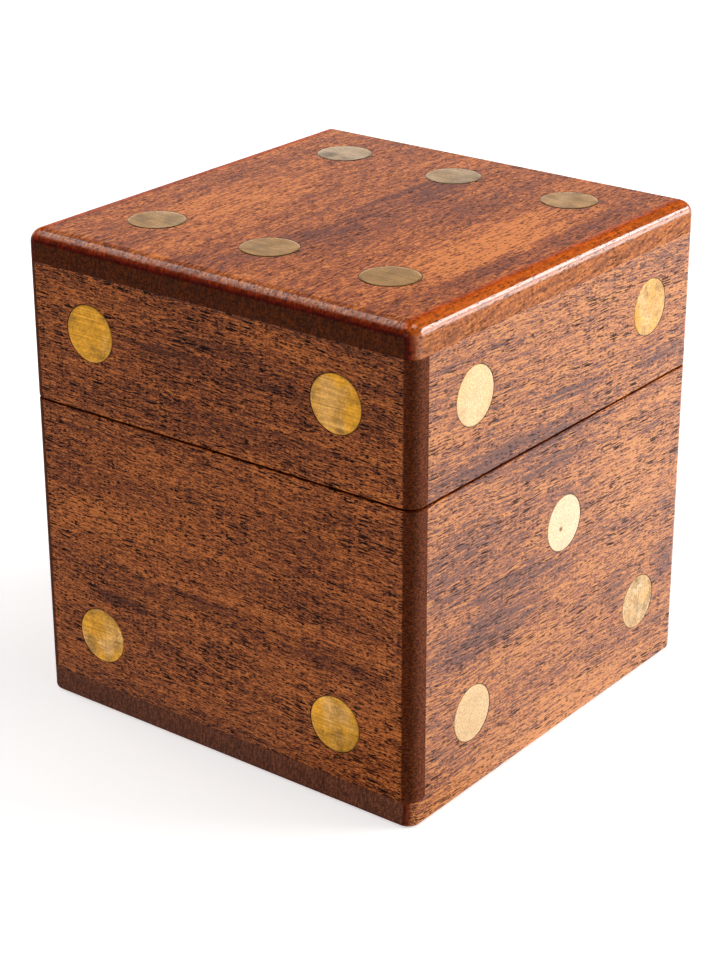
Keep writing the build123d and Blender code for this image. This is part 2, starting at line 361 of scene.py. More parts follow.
def wood(name, side, look):
    """Rosewood-like board, planed, sanded and brushed with clear lacquer.

    To the eye: red-brown with purple-brown bands, dense dark pores along the grain, a darker end
    grain, and a low gloss that turns to a sharp light line only on the rounded edges.
    """
    facts = SIDES[side]
    grain = Vector(facts["grain"]).normalized()
    turn = grain.rotation_difference(X_AXIS)  # lays the grain along X
    axes = ["XYZ".index(axis) for axis in facts["across"]]
    into = turn @ Vector([float(axis not in axes) for axis in range(3)])
    deep = 1 if abs(into.y) > abs(into.z) else 2  # which turned axis runs into the face
    material, put = new_material(name)
    coords = put("ShaderNodeTexCoord").outputs
    along = put(
        "ShaderNodeMapping", coords["Object"], (0.0, 0.0, 0.0), turn.to_euler(), (PER_MM,) * 3,
    )
    # The grain wanders, and dips in and out of the face as interlocked grain does.
    wander = [0.0, 2 * WANDER_ACROSS, 2 * WANDER_ACROSS]
    wander[deep] = 2 * facts["dip"]
    drift = put("ShaderNodeTexNoise", along, 1 / WANDER_LENGTH, 2.0).outputs["Color"]
    centred = put(VECTOR_MATH, drift, (0.5, 0.5, 0.5), operation="SUBTRACT")
    bent = put(VECTOR_MATH, centred, wander, along, operation="MULTIPLY_ADD")

    def stretched(length, width, start, depth=None):
        """Cells of a length along the grain, a width across it and a depth, in millimetres."""
        sizes = [length, width, width]
        sizes[deep] = depth or width
        scale = [1 / size for size in sizes]
        return put("ShaderNodeMapping", bent, (start,) * 3, (0.0, 0.0, 0.0), scale)

    def drawn(length, width, detail, start, depth=None):
        """Noise drawn out along the grain, from about 0.3 to 0.7."""
        return put("ShaderNodeTexNoise", stretched(length, width, start, depth), 1.0, detail)

    def bundles(length, width, start):
        """Bundles of fibres, each of one tone from -0.5 to 0.5, with crisp edges."""
        cell = put("ShaderNodeTexVoronoi", stretched(length, width, start), 1.0)
        tones = put("ShaderNodeSeparateColor", cell.outputs["Color"]).outputs[1]
        return put(MATH, tones, 0.5, operation="SUBTRACT")

    def pores(length, width, start, most, darkness, crowd=1.0):
        """Vessels cut along the grain: dark dashes of uneven size, whose radius is in cells."""
        cell = put("ShaderNodeTexVoronoi", stretched(length, width, start), 1.0).outputs
        size = put("ShaderNodeSeparateColor", cell["Color"])
        size = put(RANGE, size, 0.0, 1.0, LEAST_PORE, most)
        size = put(MATH, size, crowd, operation="MULTIPLY")
        core = put(MATH, size, PORE_EDGE, operation="SUBTRACT")
        cut = put(RANGE, cell["Distance"], size, core, 0.0, 1.0, **EASED)
        return put(MATH, cut, darkness, operation="MULTIPLY")

    # Figure: the listed bands, broken into streaks along the grain.
    figure = 0.0
    for first, second, half_length, half_width, strength in facts["figure"]:
        middle = Vector()
        middle[axes[0]], middle[axes[1]] = first, second
        middle = turn @ middle
        middle[deep] = 0.0
        radii = [half_length, half_width, half_width]
        radii[deep] = THROUGH
        band = put("ShaderNodeMapping", bent, middle, (0.0, 0.0, 0.0), radii, vector_type="TEXTURE")
        fall = put("ShaderNodeTexGradient", band, gradient_type="SPHERICAL").outputs["Fac"]
        figure = put(MATH, fall, strength, figure, operation="MULTIPLY_ADD")
    broken = put(RANGE, drawn(24, 0.7, 3.0, 6.1), 0.35, 0.65, 0.35, 1.6, **EASED)
    figure = put(MATH, figure, broken, operation="MULTIPLY")
    # A dark band is calm, and the paler wood between bands is streaked.
    lively = put(RANGE, figure, -0.6, 0.1, 0.6, 1.0, **EASED)

    # Tone: broad and narrow bands, streaks, and single bundles of fibres.
    base = facts["tone"] - 0.2
    tone = put(MATH, drawn(150, 9, 2.0, 3.1), 0.9, base, operation="MULTIPLY_ADD")
    tone = put(MATH, drawn(60, 2.4, 2.0, 7.7), 0.5, tone, operation="MULTIPLY_ADD")
    streaks = drawn(facts["streak"], facts["thin"], 1.0, 1.3)
    streaks = put(MATH, streaks, 0.5, operation="SUBTRACT")
    streaks = put(MATH, streaks, facts["streaky"], operation="MULTIPLY")
    fibres = bundles(facts["fibre"], facts["bundle"], 2.2)
    fine = put(MATH, fibres, facts["crisp"], streaks, operation="MULTIPLY_ADD")
    tone = put(MATH, tone, figure, operation="ADD")
    tone = put(MATH, fine, lively, tone, operation="MULTIPLY_ADD")
    grain_length, grain_width, grainy = facts["stipple"]
    grains = bundles(grain_length, grain_width, 4.9)
    tone = put(MATH, grains, grainy, tone, operation="MULTIPLY_ADD")
    shades = [getattr(look, f"{facts['plank']}_{shade}") for shade in ("deep", "body", "light")]
    surface = put("ShaderNodeValToRGB", tone, stops=list(zip((0.05, 0.5, 0.95), shades)))

    # Pores: long black ones here and there, and a stipple of short ones everywhere.
    long, wide = look.pore_length * PER_MM * facts["pore"], look.pore_width * PER_MM * facts["slim"]
    crowd = put(RANGE, drawn(22, 4, 2.0, 9.2), 0.4, 0.6, 0.6, 1.0, **EASED)
    long_ones = pores(long * 1.9, wide, 0.0, *facts["long"], crowd)
    short_ones = pores(long * 0.65, wide * 0.85, 5.5, *facts["short"])
    dark = put(MATH, long_ones, short_ones, operation="MAXIMUM")
    surface = put("ShaderNodeMix", dark, surface, look.pore, data_type="RGBA")

    spot = put("ShaderNodeSeparateXYZ", coords["Object"]).outputs
    slope = put(VECTOR_MATH, coords["Normal"], operation="ABSOLUTE")
    slope = put("ShaderNodeSeparateXYZ", slope).outputs
    if "painted_edge_glow" in facts:
        # Painted light: the rounded long edges are painted orange by slope, as where they reflect
        # dark surroundings.
        stops = [(place, linear(colour)) for place, colour in facts["painted_edge_glow"]]
        painted_glow = put("ShaderNodeValToRGB", slope[0], stops=stops)
        toned = put(RANGE, tone, 0.1, 0.9, 0.55, 1.0, **EASED)
        pored = put(MATH, dark, -0.7, 1.0, operation="MULTIPLY_ADD")
        grained = put(MATH, toned, pored, operation="MULTIPLY")
        painted_glow = put(VECTOR_MATH, painted_glow, grained, operation="SCALE")
        # It starts in streaks on the flat, and fades where the rounding turns upright.
        beside = put(MATH, spot[0], operation="ABSOLUTE")
        beside = put(RANGE, beside, PAINTED_GLOW_START, PAINTED_GLOW_FULL, **EASED)
        streaked = put(MATH, beside, 0.9, fine, operation="MULTIPLY_ADD")
        streaked = put(RANGE, streaked, 0.0, 0.9, 0.0, 0.92, **EASED)
        edge = put(MATH, beside, streaked, operation="MULTIPLY")
        upright = put(RANGE, slope[0], 0.86, 1.0, 1.0, 0.4, **EASED)
        edge = put(MATH, edge, upright, operation="MULTIPLY")
        surface = put("ShaderNodeMix", edge, surface, painted_glow, data_type="RGBA")

    # End grain drinks more finish: it is rich and dark where it is rounded, browner where it is
    # flat, and drawn into fine strokes through the board.
    across = put(VECTOR_MATH, coords["Normal"], grain, operation="DOT_PRODUCT")
    across = put(MATH, across, operation="ABSOLUTE")
    turned = put(RANGE, across, *facts["turns"], **EASED)
    open_grain = put(RANGE, across, 0.25, 0.6, **EASED)
    stroke_length, stroke_depth, pale_stroke, dark_stroke = facts["stroke"]
    strokes = drawn(stroke_length, 0.4, 2.0, 8.3, depth=stroke_depth)
    stops = [(place, linear(colour)) for place, colour in facts["ends"]]
    drunk = put("ShaderNodeValToRGB", across, stops=stops)
    stroked = put(RANGE, strokes, 0.38, 0.62, pale_stroke, dark_stroke, **EASED)
    speckled = put(MATH, grains, 1.0, operation="ADD")
    speckled = put(MATH, stroked, speckled, operation="MULTIPLY")
    drunk = put(VECTOR_MATH, drunk, speckled, operation="SCALE")
    surface = put("ShaderNodeMix", turned, surface, drunk, data_type="RGBA")

    # The rims that meet at the split are painted dark, as painted shade in the gap between base and
    # lid, and their gloss falls.
    at_split = put(MATH, spot[2], SPLIT_Z, SHADED_RIM_REACH, operation="COMPARE")
    rim = put(RANGE, slope[2], 0.6, 0.95, **EASED)
    rim = put(MATH, rim, at_split, operation="MULTIPLY")
    surface = put(
        "ShaderNodeMix", rim, surface, linear("#a88878"), data_type="RGBA", blend_type="MULTIPLY",
    )
    whole = put(MATH, dark, rim, operation="MAXIMUM")
    whole = put(RANGE, whole, 0.0, 1.0, 1.0, 0.3, **EASED)

    # Relief: open pores under the lacquer, and the lacquer sinking a little into them.
    under = put(MATH, dark, -1.0, fine, operation="MULTIPLY_ADD")
    under = put("ShaderNodeBump", inputs={"Strength": 0.35, "Distance": RELIEF, "Height": under})
    sunk = put(MATH, dark, -0.35, drawn(9, 1.6, 1.0, 4.4), operation="MULTIPLY_ADD")
    stroked = put(MATH, strokes, open_grain, operation="MULTIPLY")
    sunk = put(MATH, stroked, 3.0, sunk, operation="MULTIPLY_ADD")
    over = put("ShaderNodeBump", inputs={"Strength": 0.25, "Distance": RELIEF, "Height": sunk})

    # Lacquer stands thick, and handling has rubbed the rounded edges brighter than the faces.
    # End grain drinks it, open pores break it, and the bevels sawn at the back have little of it.
    first, last, dull = facts["dulls"]
    squarest = put(MATH, slope[0], slope[1], operation="MAXIMUM")
    squarest = put(MATH, squarest, slope[2], operation="MAXIMUM")
    rubbed = put(RANGE, squarest, 0.965, 0.995, 1.0, facts["gloss"], **EASED)
    gloss = put(RANGE, across, first, last, rubbed, dull, **EASED)
    gloss = put(MATH, gloss, whole, operation="MULTIPLY")
    sunken = put(RANGE, strokes, 0.42, 0.58, 0.0, 0.6, **EASED)
    sunken = put(MATH, open_grain, sunken, operation="MULTIPLY")
    sunken = put(MATH, 1.0, sunken, operation="SUBTRACT")
    gloss = put(MATH, gloss, sunken, operation="MULTIPLY")
    sawn = put(MATH, spot[2], SPLIT_Z, SAWN_REACH, operation="COMPARE")
    sloped = put(RANGE, slope[2], 0.03, 0.2, **EASED)
    sawn = put(MATH, sawn, sloped, operation="MULTIPLY")
    sawn = put(MATH, sawn, -0.9, 1.0, operation="MULTIPLY_ADD")
    gloss = put(MATH, gloss, sawn, operation="MULTIPLY")
    shader = put(
        "ShaderNodeBsdfPrincipled",
        inputs={
            "Base Color": surface, "Roughness": 0.5, "Specular IOR Level": 0.0, "Normal": under,
            "Coat Weight": gloss, "Coat Roughness": 0.1, "Coat IOR": 1.5, "Coat Normal": over,
        },
    )
    put("ShaderNodeOutputMaterial", shader)
    return material


MERGE = 1e-6  # points nearer than this are one, m
LEVEL = math.radians(0.4)  # neighbours nearer to flat than this are one face
SHARP = math.radians(30)  # edges sharper than this are eased


def mesh_of(shape, name):
    """A new mesh of a bmesh, which it frees."""
    mesh = bpy.data.meshes.new(name)
    shape.to_mesh(mesh)
    shape.free()
    return mesh


def eased_mesh(node, arris, name):
    """A board's mesh with its loose triangles merged and its sharp edges eased."""
    shape = bmesh.new()
    shape.from_mesh(frame["nodes"][node].data)
    bmesh.ops.remove_doubles(shape, verts=shape.verts, dist=MERGE)
    bmesh.ops.dissolve_limit(shape, angle_limit=LEVEL, verts=shape.verts, edges=shape.edges)
    sharp = [e for e in shape.edges if e.is_manifold and e.calc_face_angle(0.0) > SHARP]
    bmesh.ops.bevel(
        shape, geom=sharp, offset=arris, segments=2, profile=0.6, affect="EDGES",
        clamp_overlap=True,
    )
    mesh = mesh_of(shape, name)
    mesh.shade_smooth()
    return mesh


def settled(piece):
    """Makes what a piece's modifiers show its own mesh, and returns that."""
    bpy.context.view_layer.update()
    shown = piece.evaluated_get(bpy.context.evaluated_depsgraph_get())
    mesh = bpy.data.meshes.new_from_object(shown)
    piece.modifiers.clear()
    piece.data = mesh
    mesh.name = piece.name
    return mesh


def finished(piece, body, slot, *nodes):
    """Weighs a piece's normals by face, and says what it is part of."""
    piece.modifiers.new("weigh", "WEIGHTED_NORMAL").keep_sharp = True
    settled(piece)
    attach(piece, body)
    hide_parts(*nodes)


def linked(name, mesh):
    """A new object at the origin."""
    piece = bpy.data.objects.new(name, mesh)
    bpy.context.scene.collection.objects.link(piece)
    return piece


BOARDS = {
    "top_board": ("lid", "top"),
    "lid_front_wall": ("lid", "front"),
    "lid_left_wall": ("lid", "left"),
    "lid_right_wall": ("lid", "right"),
    "lid_back_wall": ("lid", "back"),
    "bottom_board": ("base", "bottom"),
    "base_front_wall": ("base", "front"),
    "base_left_wall": ("base", "left"),
    "base_right_wall": ("base", "right"),
    "base_back_wall": ("base", "back"),
}


class DICEBOX_OT_boards(bpy.types.Operator):
    """Finish the ten boards in lacquered hardwood"""

    bl_idname = "dicebox.boards"
    bl_label = "Boards"

    def execute(self, context):
        look = context.scene.dice_box_wood
        woods = {side: wood(f"lacquered hardwood {side}", side, look) for side in SIDES}
        for node, (body, side) in BOARDS.items():
            mesh = eased_mesh(node, look.arris, f"{node}_eased")
            mesh.materials.clear()
            mesh.materials.append(woods[side])
            finished(linked(f"{node}_eased", mesh), body, "box_wood", node)
        return {"FINISHED"}


# --- Brass --------------------------------------------------------------------------------------


# Marks on the pips, one by one: place and reach in millimetres, and how dark.
MARKS = (
    ((-34.4, 30.4, 107.0), (2.8, 2.4, 2.0), 0.8),
    ((50.0, 1.0, 47.7), (1.0, 0.8, 0.7), 1.0),
    ((32.6, -50.8, 82.2), (1.6, 1.0, 0.8), 0.8),
)
# Three sets of scratches: the angle and the width of each. Real ones are too fine to show, so
# these are drawn as coarse as they need to be.
SCRATCHES = ((0.5, 0.26), (-0.9, 0.34), (1.35, 0.3))
SCRATCH_LENGTH = 9.0


def brass(name, look, roughness):
    """Yellow brass, sanded flush and rubbed, then left to age.

    To the eye: a pale gold metal with a satin gloss, fine straight scratches, and soft brown
    tarnish in patches.
    """
    material, put = new_material(name)
    scaled = put("ShaderNodeTexCoord").outputs["Object"]
    scaled = put("ShaderNodeMapping", scaled, inputs={"Scale": (PER_MM,) * 3})
    amber, wear, edge = (
        put("ShaderNodeAttribute", attribute_name=fact).outputs["Fac"]
        for fact in ("amber", "wear", "edge")
    )
    cloud = put("ShaderNodeTexNoise", scaled, 1 / 4.0, 5.0, 0.6)
    patch = put("ShaderNodeTexNoise", scaled, 1 / 6.5, 2.0)
    rub = 0.0
    for number, (angle, width) in enumerate(SCRATCHES):
        scale = (1 / SCRATCH_LENGTH, 1 / width, 1 / width)
        turned = put(
            "ShaderNodeMapping", scaled, (number * 3.7,) * 3, (angle, angle * 0.7, angle), scale,
        )
        scratch = put("ShaderNodeTexNoise", turned, 1.0, 1.0)
        rub = put(MATH, scratch, rub, operation="ADD")

    # Aged lacquer is amber in places and worn to bare metal in others.
    patchy = put(RANGE, patch, 0.35, 0.65, -0.35, 0.2)
    hue = put(MATH, patchy, wear, amber, operation="MULTIPLY_ADD")
    metal = put("ShaderNodeMix", hue, look.clean, look.amber, data_type="RGBA")
    # Rubbing leaves scratches everywhere, and age a mottle that grows with the wear.
    specks = put("ShaderNodeTexNoise", scaled, 1 / 0.6, 3.0, 0.7)
    specks = put(RANGE, specks, 0.35, 0.62, 0.62, 1.12)
    blots = put("ShaderNodeTexNoise", scaled, 1 / 2.2, 3.0)
    blots = put(RANGE, blots, 0.35, 0.65, 0.8, 1.12)
    mottle = put(MATH, specks, blots, operation="MULTIPLY")
    even = put(RANGE, rub, 1.2, 1.8, 0.68, 1.1)
    mottled = put(MATH, even, mottle, operation="MULTIPLY")
    shade = put("ShaderNodeMix", wear, even, mottled, data_type="FLOAT")
    metal = put(VECTOR_MATH, metal, shade, operation="SCALE")
    # Tarnish comes in clouds, and dust in specks among them.
    tarnish = put(RANGE, cloud, 0.5, 0.72, 0.0, 0.9)
    tarnish = put(MATH, tarnish, wear, operation="MULTIPLY")
    dust = put("ShaderNodeTexNoise", scaled, 1 / 0.45, 2.0)
    dust = put(MATH, dust, cloud, operation="MULTIPLY")
    dust = put(RANGE, dust, 0.31, 0.36, 0.0, 1.0)
    dust = put(MATH, dust, wear, operation="MULTIPLY")
    dirt = put(MATH, tarnish, dust, operation="MAXIMUM")
    for place, reach, strength in MARKS:
        near = put(
            "ShaderNodeMapping", scaled, place, (0.0, 0.0, 0.0), reach, vector_type="TEXTURE",
        )
        mark = put("ShaderNodeTexGradient", near, gradient_type="SPHERICAL").outputs["Fac"]
        mark = put(RANGE, mark, 0.0, 0.6, 0.0, strength)
        dirt = put(MATH, dirt, mark, operation="MAXIMUM")
    # Dirt and lacquer gather in the line round each pip.
    line = put(RANGE, edge, 0.955, 0.985, 0.0, 0.75)
    dirt = put(MATH, dirt, line, operation="MAXIMUM")
    colour = put("ShaderNodeMix", dirt, metal, look.stain, data_type="RGBA")
    gloss = put(RANGE, cloud, 0.3, 0.7, roughness - 0.06, roughness + 0.08)
    bump = put("ShaderNodeBump", inputs={"Strength": 0.3, "Distance": 0.02 * MM, "Height": rub})
    shader = put(
        "ShaderNodeBsdfPrincipled",
        inputs={"Base Color": colour, "Metallic": 1.0, "Roughness": gloss, "Normal": bump},
    )
    put("ShaderNodeOutputMaterial", shader)
    return material


def face_axis(node):
    """The outward axis of the side that a pip lies in."""
    side = node.split("_")[0]
    return {
        "front": -Y_AXIS, "back": Y_AXIS, "left": -X_AXIS, "right": X_AXIS, "top": Z_AXIS,
        "bottom": -Z_AXIS,
    }[side]


def turned_parts(name, sizes, outline, segments, slot=None):
    """Geometry nodes that stand one turned part on each point of a mesh.

    A point's "turn" attribute is the part's rotation. The outline runs from the middle of the face
    round to the middle of the back, each place as terms of the named sizes: out from the axis, and
    down from the face. The slot is the sizes of its length, width and depth.
    """
    tree = bpy.data.node_groups.new(name, "GeometryNodeTree")
    put = partial(add, tree)
    sockets = tree.interface
    sockets.new_socket("Points", in_out="INPUT", socket_type="NodeSocketGeometry")
    for size, value in sizes.items():
        socket = sockets.new_socket(size, in_out="INPUT", socket_type="NodeSocketFloat")
        socket.default_value = value
        socket.subtype = "DISTANCE"
    count = sockets.new_socket("Segments", in_out="INPUT", socket_type="NodeSocketInt")
    count.default_value = segments
    sockets.new_socket("Material", in_out="INPUT", socket_type="NodeSocketMaterial")
    sockets.new_socket("Parts", in_out="OUTPUT", socket_type="NodeSocketGeometry")
    given = put("NodeGroupInput").outputs
    radius = next(iter(sizes))

    def total(terms):
        """The sum of the sizes, each times its factor."""
        value = 0.0
        for size, factor in terms.items():
            value = put(MATH, given[size], factor, value, operation="MULTIPLY_ADD")
        return value

    # The outline is spun round a ring, so each place is measured from the ring's radius.
    line = put("GeometryNodeMeshLine", inputs={"Count": len(outline)})
    place = put("GeometryNodeIndexSwitch", data_type="VECTOR")
    while len(place.index_switch_items) < len(outline):
        place.index_switch_items.new()
    tree.links.new(put("GeometryNodeInputIndex").outputs[0], place.inputs["Index"])
    for number, (out, down) in enumerate(outline):
        out = {**out, radius: out.get(radius, 0.0) - 1.0}
        spot = put("ShaderNodeCombineXYZ", total(out), total(down))
        tree.links.new(spot.outputs[0], place.inputs[str(number)])
    shaped = put("GeometryNodeSetPosition", line, inputs={"Position": place})
    profile = put("GeometryNodeMeshToCurve", shaped)
    ring = put(
        "GeometryNodeCurvePrimitiveCircle",
        inputs={"Resolution": given["Segments"], "Radius": given[radius]},
    )
    spun = put("GeometryNodeCurveToMesh", ring, profile)
    part = put("GeometryNodeMergeByDistance", spun, inputs={"Distance": MERGE})

    # The "edge" attribute grows from 0 at the axis to 1 at the radius.
    spot = put("ShaderNodeSeparateXYZ", put("GeometryNodeInputPosition")).outputs
    flat = put("ShaderNodeCombineXYZ", spot[0], spot[1])
    out = put(VECTOR_MATH, flat, operation="LENGTH")
    out = put(MATH, out, given[radius], operation="DIVIDE")
    part = put(
        "GeometryNodeStoreNamedAttribute", part, inputs={"Name": "edge", "Value": out},
        data_type="FLOAT",
    )
    if slot:
        length, width, depth = (total({size: 1.0}) for size in slot)
        depth = put(MATH, depth, 2.0, operation="MULTIPLY")
        bar = put("ShaderNodeCombineXYZ", length, width, depth)
        cutter = put("GeometryNodeMeshCube", bar)
        part = put("GeometryNodeMeshBoolean", part, cutter, operation="DIFFERENCE", solver="EXACT")
    turn = put("GeometryNodeInputNamedAttribute", inputs={"Name": "turn"}, data_type="FLOAT_VECTOR")
    angle = put("FunctionNodeEulerToRotation", turn)
    points = put("GeometryNodeMeshToPoints", given["Points"])
    stood = put(
        "GeometryNodeInstanceOnPoints", points, inputs={"Instance": part, "Rotation": angle},
    )
    real = put("GeometryNodeRealizeInstances", stood)
    painted = put("GeometryNodeSetMaterial", real, inputs={"Material": given["Material"]})
    put("NodeGroupOutput", painted)
    return tree


CREASE = math.radians(25)  # turned parts are creased where they bend more than this


def stand(name, tree, material, places):
    """One mesh of turned parts. A place is a point, its axis, its spin and its attributes."""
    cloud = bpy.data.meshes.new(f"{name}_places")
    cloud.from_pydata([place[0] for place in places], [], [])
    for fact in places[0][3]:
        kept = cloud.attributes.new(fact, "FLOAT", "POINT")
        kept.data.foreach_set("value", [place[3][fact] for place in places])
    turns = []
    for _, axis, spin, _ in places:
        lean = Z_AXIS.rotation_difference(axis).to_matrix() @ Matrix.Rotation(spin, 3, "Z")
        turns.extend(lean.to_euler())
    cloud.attributes.new("turn", "FLOAT_VECTOR", "POINT").data.foreach_set("vector", turns)
    piece = linked(name, cloud)
    made = piece.modifiers.new("turned parts", "NODES")
    made.node_group = tree
    socket = next(s for s in tree.interface.items_tree if s.name == "Material")
    made[socket.identifier] = material
    mesh = settled(piece)
    mesh.attributes.remove(mesh.attributes["turn"])
    mesh.shade_smooth()
    mesh.set_sharp_from_angle(angle=CREASE)
    return piece


# How each pip has aged: amber lacquer and tarnish.
PIPS = {
    "top_pip_back_left": (0.45, 0.5), "top_pip_back_middle": (0.6, 0.4),
    "top_pip_back_right": (1.0, 0.45), "top_pip_front_left": (0.9, 0.4),
    "top_pip_front_middle": (1.0, 0.3), "top_pip_front_right": (1.1, 0.25),
    "front_pip_high_left": (1.15, 0.7), "front_pip_high_right": (1.0, 0.6),
    "front_pip_low_left": (1.0, 0.8), "front_pip_low_right": (1.0, 0.7),
    "right_pip_high_front": (0.3, 0.25), "right_pip_high_back": (0.75, 0.7),
    "right_pip_centre": (0.0, 0.05), "right_pip_low_front": (0.3, 0.15),
    "right_pip_low_back": (0.5, 0.8), "left_pip_high": (0.4, 0.5),
    "left_pip_low": (0.6, 0.4), "back_pip_high": (0.5, 0.6),
    "back_pip_centre": (0.35, 0.3), "back_pip_low": (0.6, 0.5),
    "bottom_pip": (0.5, 0.7),
}


class DICEBOX_OT_pips(bpy.types.Operator):
    """Set a brass pip in each socket of the boards"""

    bl_idname = "dicebox.pips"
    bl_label = "Pips"

    def execute(self, context):
        look = context.scene.dice_box_brass
        metal = brass("satin brass pips", look, 0.27)
        low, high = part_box("top_pip_back_left")
        tree = turned_parts(
            "pips on points",
            {"Radius": (high.x - low.x) / 2, "Thickness": high.z - low.z, "Rim": look.rim},
            (
                ({}, {}),
                ({"Radius": 0.45}, {}),
                ({"Radius": 0.9}, {}),
                ({"Radius": 1.0, "Rim": -1.0}, {}),
                ({"Radius": 1.0, "Rim": -0.293}, {"Rim": 0.293}),
                ({"Radius": 1.0}, {"Rim": 1.0}),
                ({"Radius": 1.0}, {"Thickness": 1.0}),
                ({}, {"Thickness": 1.0}),
            ),
            look.segments,
        )
        for body in BODIES:
            nodes = [n for n in PIPS if frame["nodes"][n]["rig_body"] == body]
            places = []
            for node in nodes:
                axis = face_axis(node)
                low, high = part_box(node)
                middle, half = (low + high) / 2, (high - low) / 2
                face = middle + Vector([a * h for a, h in zip(axis, half)])
                amber, wear = PIPS[node]
                places.append((face, axis, 0.0, {"amber": amber, "wear": wear}))
            piece = stand(f"{body}_pips", tree, metal, places)
            finished(piece, body, "brass_pip", *nodes)
        return {"FINISHED"}


HINGE_X = (-25 * MM, 25 * MM)  # middles of the leaves
SCREW_X = tuple(x + side * 6.5 * MM for x in HINGE_X for side in (-1, 1))  # middles of the screws
HINGE_AGE = {"amber": 0.45, "wear": 0.5}  # how the hinges and their screws have aged
LEAF_ARRIS = 0.06 * MM  # easing of the edges of leaves and pins


class DICEBOX_OT_screws(bpy.types.Operator):
    """Drive slotted countersunk screws into the hinge leaves"""

    bl_idname = "dicebox.screws"
    bl_label = "Screws"

    def execute(self, context):
        look = context.scene.dice_box_brass
        metal = brass("plated screws", look, 0.3)
        tree = turned_parts(
            "screws on points",
            {
                "Head radius": 1.05 * MM, "Head height": 0.5 * MM, "Shank radius": 0.6 * MM,
                "Length": 5.5 * MM, "Edge": 0.06 * MM, "Slot length": 3.0 * MM,
                "Slot width": 0.3 * MM, "Slot depth": 0.2 * MM,
            },
            (
                ({}, {}),
                ({"Head radius": 1.0, "Edge": -1.0}, {}),
                ({"Head radius": 1.0}, {"Edge": 1.0}),
                ({"Shank radius": 1.0}, {"Head height": 1.0}),
                ({"Shank radius": 1.0}, {"Length": 0.85}),
                ({}, {"Length": 1.0}),
            ),
            32,
            slot=("Slot length", "Slot width", "Slot depth"),
        )
        for body in BODIES:
            node = f"{body}_hinge_screws"
            low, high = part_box(node)
            middle_y = (low.y + high.y) / 2
            face_z, axis = (high.z, Z_AXIS) if body == "base" else (low.z, -Z_AXIS)
            places = [
                (Vector((x, middle_y, face_z)), axis, 0.4 + number, HINGE_AGE)
                for number, x in enumerate(SCREW_X)
            ]
            finished(stand(f"{body}_screws", tree, metal, places), body, "screw", node)
        return {"FINISHED"}


class DICEBOX_OT_hinges(bpy.types.Operator):
    """Finish the hinge leaves and pins in brass"""

    bl_idname = "dicebox.hinges"
    bl_label = "Hinges"

    def execute(self, context):
        look = context.scene.dice_box_brass
        metal = brass("rolled brass hinges", look, 0.3)
        for node, cad in frame["nodes"].items():
            if "hinge_leaf" not in node and "hinge_pin" not in node:
                continue
            mesh = eased_mesh(node, LEAF_ARRIS, f"{node}_eased")
            for fact, value in HINGE_AGE.items():
                kept = mesh.attributes.new(fact, "FLOAT", "POINT")
                kept.data.foreach_set("value", [value] * len(mesh.vertices))
            mesh.materials.clear()
            mesh.materials.append(metal)
            finished(linked(f"{node}_eased", mesh), cad["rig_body"], "brass_hinge", node)
        return {"FINISHED"}


# --- Felt ---------------------------------------------------------------------------------------


def felt(name, look):
    """Pressed wool felt. To the eye: deep red, matt, with a haze of fine fibres standing off it."""
    material, put = new_material(name)
    place = put("ShaderNodeTexCoord").outputs["Object"]
    fibres = put("ShaderNodeTexNoise", place, PER_MM / FELT_FIBRE, 4.0)
    cloud = put("ShaderNodeTexNoise", place, PER_MM / FELT_CLOUD, 3.0)
    tone = put(MATH, cloud, 0.6, fibres, operation="MULTIPLY_ADD")
    tone = put(RANGE, tone, 0.55, 1.05, 0.55, 1.25)
    colour = put(VECTOR_MATH, look.colour[:3], tone, operation="SCALE")
    bump = put("ShaderNodeBump", inputs={"Strength": 0.8, "Distance": 0.3 * MM, "Height": fibres})
    shader = put(
        "ShaderNodeBsdfPrincipled",
        inputs={
            "Base Color": colour, "Roughness": 0.95, "Sheen Weight": 0.35, "Sheen Roughness": 0.45,
            "Sheen Tint": linear("#c88080"), "Normal": bump, "Specular IOR Level": 0.2,
        },
    )
    put("ShaderNodeOutputMaterial", shader)
    return material


FELT_FIBRE, FELT_CLOUD = 0.35, 9.0  # size of a tuft of fibres and of a cloud of colour, mm
ROLL_WIDTH, ROLL_DEPTH = 1.3 * MM, 0.5 * MM  # how the felt's cut edge rolls over
NAP = 0.1 * MM  # how far the felt lies below the top of its solid
SWELLS = ((0, 7 * MM, 0.06 * MM), (5, 2.3 * MM, 0.03 * MM))  # start, length and height of each


